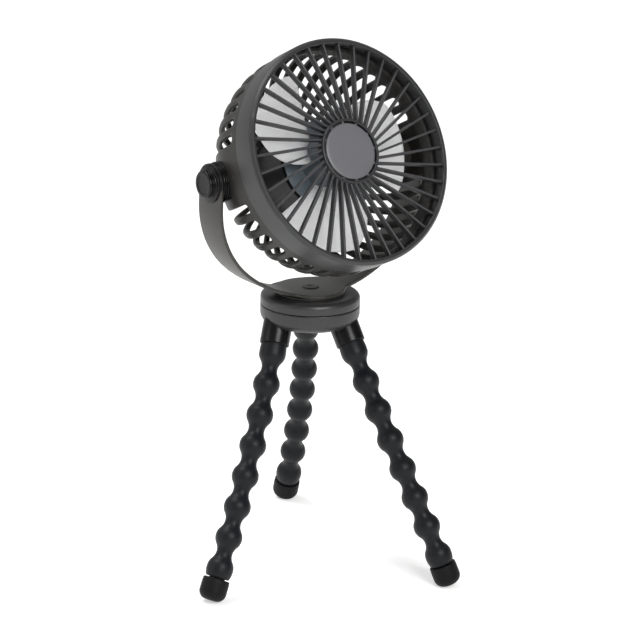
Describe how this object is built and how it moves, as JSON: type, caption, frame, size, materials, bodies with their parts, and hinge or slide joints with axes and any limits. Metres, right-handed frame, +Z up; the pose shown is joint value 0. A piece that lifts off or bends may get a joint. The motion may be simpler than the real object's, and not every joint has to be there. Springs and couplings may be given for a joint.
{
  "type": "stroller fan",
  "caption": "Small round caged fan in a U-shaped yoke, tilting and swivelling on a puck with bendable bead legs that stand or wrap round a bar.",
  "frame": {"origin": "centre of the footprint of the whole fan, on the surface that the three feet stand on", "axes": "+Z up, X along the side pivots, and the head faces -Y"},
  "size_m": [0.1693, 0.184, 0.3074],
  "materials": {
    "body_charcoal": "fine matt moulded surface, charcoal",
    "shell_warm_grey": "fine matt moulded surface, warm dark grey",
    "badge_grey": "satin mid grey, left bare",
    "impeller_grey": "light grey, slightly see-through",
    "leg_skin": "matt blue-black silicone",
    "foot_rubber": "matt black rubber",
    "pivot_black": "matt black",
    "button_grey": "matt dark grey",
    "screw_steel": "plain zinc-plated steel",
    "washer_nylon": "natural nylon",
    "copper_wire": "enamelled copper windings",
    "motor_iron": "laminated and pressed steel",
    "bearing_brass": "sintered bearing metal",
    "board_green": "green circuit board",
    "battery_can": "battery can in a plain sleeve",
    "lens_clear": "clear light guide"
  },
  "bodies": {
    "base": {"base_body": "body_charcoal", "swivel_bolt": "screw_steel", "swivel_nut": "screw_steel", "swivel_washer": "washer_nylon", "leg_collars": "leg_skin"},
    "yoke": {"swivel_plate": "body_charcoal", "plate_screws": "screw_steel", "yoke": "shell_warm_grey", "pivot_caps": "pivot_black"},
    "head": {"front_ring": "body_charcoal", "spoke_guard": "body_charcoal", "hub_badge": "badge_grey", "rear_shell": "shell_warm_grey", "motor_housing": "body_charcoal", "housing_screws": "screw_steel", "rear_cover": "body_charcoal", "cover_screws": "screw_steel", "pivot_bolts": "screw_steel", "pivot_washers": "washer_nylon", "motor_stator": "motor_iron", "motor_coils": "copper_wire", "motor_bearings": "bearing_brass", "circuit_board": "board_green", "battery": "battery_can", "usb_socket": "screw_steel", "led_lens": "lens_clear"},
    "button": {"power_button": "button_grey"},
    "rotor": {"impeller": "impeller_grey", "rotor_cup": "motor_iron", "motor_shaft": "screw_steel"},
    "leg_1_link_1": {"leg_1_bead_1": "leg_skin"},
    "leg_1_link_2": {"leg_1_bead_2": "leg_skin"},
    "leg_1_link_3": {"leg_1_bead_3": "leg_skin"},
    "leg_1_link_4": {"leg_1_bead_4": "leg_skin"},
    "leg_1_link_5": {"leg_1_bead_5": "leg_skin"},
    "leg_1_link_6": {"leg_1_bead_6": "leg_skin"},
    "leg_1_link_7": {"leg_1_bead_7": "leg_skin"},
    "leg_1_link_8": {"leg_1_bead_8": "leg_skin", "foot_cap_1": "foot_rubber"},
    "leg_2_link_1": {"leg_2_bead_1": "leg_skin"},
    "leg_2_link_2": {"leg_2_bead_2": "leg_skin"},
    "leg_2_link_3": {"leg_2_bead_3": "leg_skin"},
    "leg_2_link_4": {"leg_2_bead_4": "leg_skin"},
    "leg_2_link_5": {"leg_2_bead_5": "leg_skin"},
    "leg_2_link_6": {"leg_2_bead_6": "leg_skin"},
    "leg_2_link_7": {"leg_2_bead_7": "leg_skin"},
    "leg_2_link_8": {"leg_2_bead_8": "leg_skin", "foot_cap_2": "foot_rubber"},
    "leg_3_link_1": {"leg_3_bead_1": "leg_skin"},
    "leg_3_link_2": {"leg_3_bead_2": "leg_skin"},
    "leg_3_link_3": {"leg_3_bead_3": "leg_skin"},
    "leg_3_link_4": {"leg_3_bead_4": "leg_skin"},
    "leg_3_link_5": {"leg_3_bead_5": "leg_skin"},
    "leg_3_link_6": {"leg_3_bead_6": "leg_skin"},
    "leg_3_link_7": {"leg_3_bead_7": "leg_skin"},
    "leg_3_link_8": {"leg_3_bead_8": "leg_skin", "foot_cap_3": "foot_rubber"}
  },
  "joints": [
    {"name": "base_swivel", "type": "hinge", "parent": "base", "child": "yoke", "pos_m": [0.00992, 0.00068, 0.1526], "axis": [0, 0, 1], "continuous": true},
    {"name": "head_tilt", "type": "hinge", "parent": "yoke", "child": "head", "pos_m": [0.00992, 0.00068, 0.2319], "axis": [-1, 0, 0], "range_deg": [-34, 146]},
    {"name": "impeller_spin", "type": "hinge", "parent": "head", "child": "rotor", "pos_m": [0.00992, -0.01723, 0.24079], "axis": [0, -0.8957, 0.4446], "continuous": true},
    {"name": "button_press", "type": "slide", "parent": "head", "child": "button", "axis": [0, -0.8957, 0.4446], "range_m": [0, 0.0006], "stiffness_N_per_m": 800, "springref_m": -0.0006},
    {"name": "leg_1_curl", "type": "hinge", "parent": "base", "child": "leg_1_link_1", "pos_m": [-0.01586, -0.00138, 0.1331], "axis": [0, -1, 0], "range_deg": [-5, 11]},
    {"name": "leg_1_neck_2", "type": "hinge", "parent": "leg_1_link_1", "child": "leg_1_link_2", "pos_m": [-0.02194, -0.00569, 0.11993], "axis": [0, -1, 0], "range_deg": [-10, 22]},
    {"name": "leg_1_neck_3", "type": "hinge", "parent": "leg_1_link_2", "child": "leg_1_link_3", "pos_m": [-0.02925, -0.01052, 0.10432], "axis": [0, -1, 0], "range_deg": [-10, 22]},
    {"name": "leg_1_neck_4", "type": "hinge", "parent": "leg_1_link_3", "child": "leg_1_link_4", "pos_m": [-0.03669, -0.01506, 0.08868], "axis": [0, -1, 0], "range_deg": [-10, 22]},
    {"name": "leg_1_neck_5", "type": "hinge", "parent": "leg_1_link_4", "child": "leg_1_link_5", "pos_m": [-0.04423, -0.0193, 0.07301], "axis": [0, -1, 0], "range_deg": [-10, 22]},
    {"name": "leg_1_neck_6", "type": "hinge", "parent": "leg_1_link_5", "child": "leg_1_link_6", "pos_m": [-0.05187, -0.02325, 0.05731], "axis": [0, -1, 0], "range_deg": [-10, 22]},
    {"name": "leg_1_neck_7", "type": "hinge", "parent": "leg_1_link_6", "child": "leg_1_link_7", "pos_m": [-0.05959, -0.0269, 0.04159], "axis": [0, -1, 0], "range_deg": [-10, 22]},
    {"name": "leg_1_neck_8", "type": "hinge", "parent": "leg_1_link_7", "child": "leg_1_link_8", "pos_m": [-0.06739, -0.03025, 0.02583], "axis": [0, -1, 0], "range_deg": [-10, 22]},
    {"name": "leg_2_curl", "type": "hinge", "parent": "base", "child": "leg_2_link_1", "pos_m": [0.02181, -0.02316, 0.1334], "axis": [0, 1, 0], "range_deg": [-5, 11]},
    {"name": "leg_2_neck_2", "type": "hinge", "parent": "leg_2_link_1", "child": "leg_2_link_2", "pos_m": [0.02302, -0.03138, 0.12075], "axis": [0, 1, 0], "range_deg": [-10, 22]},
    {"name": "leg_2_neck_3", "type": "hinge", "parent": "leg_2_link_2", "child": "leg_2_link_3", "pos_m": [0.02509, -0.04063, 0.10557], "axis": [0, 1, 0], "range_deg": [-10, 22]},
    {"name": "leg_2_neck_4", "type": "hinge", "parent": "leg_2_link_3", "child": "leg_2_link_4", "pos_m": [0.02781, -0.04931, 0.09016], "axis": [0, 1, 0], "range_deg": [-10, 22]},
    {"name": "leg_2_neck_5", "type": "hinge", "parent": "leg_2_link_4", "child": "leg_2_link_5", "pos_m": [0.03108, -0.05739, 0.07454], "axis": [0, 1, 0], "range_deg": [-10, 22]},
    {"name": "leg_2_neck_6", "type": "hinge", "parent": "leg_2_link_5", "child": "leg_2_link_6", "pos_m": [0.03484, -0.06482, 0.05869], "axis": [0, 1, 0], "range_deg": [-10, 22]},
    {"name": "leg_2_neck_7", "type": "hinge", "parent": "leg_2_link_6", "child": "leg_2_link_7", "pos_m": [0.03898, -0.07158, 0.04265], "axis": [0, 1, 0], "range_deg": [-10, 22]},
    {"name": "leg_2_neck_8", "type": "hinge", "parent": "leg_2_link_7", "child": "leg_2_link_8", "pos_m": [0.04343, -0.07765, 0.02642], "axis": [0, 1, 0], "range_deg": [-10, 22]},
    {"name": "leg_3_curl", "type": "hinge", "parent": "base", "child": "leg_3_link_1", "pos_m": [0.02378, 0.02363, 0.13333], "axis": [0, 1, 0], "range_deg": [-5, 11]},
    {"name": "leg_3_neck_2", "type": "hinge", "parent": "leg_3_link_1", "child": "leg_3_link_2", "pos_m": [0.02859, 0.03017, 0.12056], "axis": [0, 1, 0], "range_deg": [-10, 22]},
    {"name": "leg_3_neck_3", "type": "hinge", "parent": "leg_3_link_2", "child": "leg_3_link_3", "pos_m": [0.0338, 0.03792, 0.10529], "axis": [0, 1, 0], "range_deg": [-10, 22]},
    {"name": "leg_3_neck_4", "type": "hinge", "parent": "leg_3_link_3", "child": "leg_3_link_4", "pos_m": [0.03847, 0.04564, 0.08983], "axis": [0, 1, 0], "range_deg": [-10, 22]},
    {"name": "leg_3_neck_5", "type": "hinge", "parent": "leg_3_link_4", "child": "leg_3_link_5", "pos_m": [0.04262, 0.0533, 0.0742], "axis": [0, 1, 0], "range_deg": [-10, 22]},
    {"name": "leg_3_neck_6", "type": "hinge", "parent": "leg_3_link_5", "child": "leg_3_link_6", "pos_m": [0.04627, 0.06087, 0.0584], "axis": [0, 1, 0], "range_deg": [-10, 22]},
    {"name": "leg_3_neck_7", "type": "hinge", "parent": "leg_3_link_6", "child": "leg_3_link_7", "pos_m": [0.04944, 0.0683, 0.04242], "axis": [0, 1, 0], "range_deg": [-10, 22]},
    {"name": "leg_3_neck_8", "type": "hinge", "parent": "leg_3_link_7", "child": "leg_3_link_8", "pos_m": [0.05214, 0.07557, 0.02629], "axis": [0, 1, 0], "range_deg": [-10, 22]}
  ],
  "couplings": [
    {"joint": "leg_1_neck_2", "follows": "leg_1_curl", "ratio": 2},
    {"joint": "leg_1_neck_3", "follows": "leg_1_curl", "ratio": 2},
    {"joint": "leg_1_neck_4", "follows": "leg_1_curl", "ratio": 2},
    {"joint": "leg_1_neck_5", "follows": "leg_1_curl", "ratio": 2},
    {"joint": "leg_1_neck_6", "follows": "leg_1_curl", "ratio": 2},
    {"joint": "leg_1_neck_7", "follows": "leg_1_curl", "ratio": 2},
    {"joint": "leg_1_neck_8", "follows": "leg_1_curl", "ratio": 2},
    {"joint": "leg_2_neck_2", "follows": "leg_2_curl", "ratio": 2},
    {"joint": "leg_2_neck_3", "follows": "leg_2_curl", "ratio": 2},
    {"joint": "leg_2_neck_4", "follows": "leg_2_curl", "ratio": 2},
    {"joint": "leg_2_neck_5", "follows": "leg_2_curl", "ratio": 2},
    {"joint": "leg_2_neck_6", "follows": "leg_2_curl", "ratio": 2},
    {"joint": "leg_2_neck_7", "follows": "leg_2_curl", "ratio": 2},
    {"joint": "leg_2_neck_8", "follows": "leg_2_curl", "ratio": 2},
    {"joint": "leg_3_neck_2", "follows": "leg_3_curl", "ratio": 2},
    {"joint": "leg_3_neck_3", "follows": "leg_3_curl", "ratio": 2},
    {"joint": "leg_3_neck_4", "follows": "leg_3_curl", "ratio": 2},
    {"joint": "leg_3_neck_5", "follows": "leg_3_curl", "ratio": 2},
    {"joint": "leg_3_neck_6", "follows": "leg_3_curl", "ratio": 2},
    {"joint": "leg_3_neck_7", "follows": "leg_3_curl", "ratio": 2},
    {"joint": "leg_3_neck_8", "follows": "leg_3_curl", "ratio": 2}
  ]
}
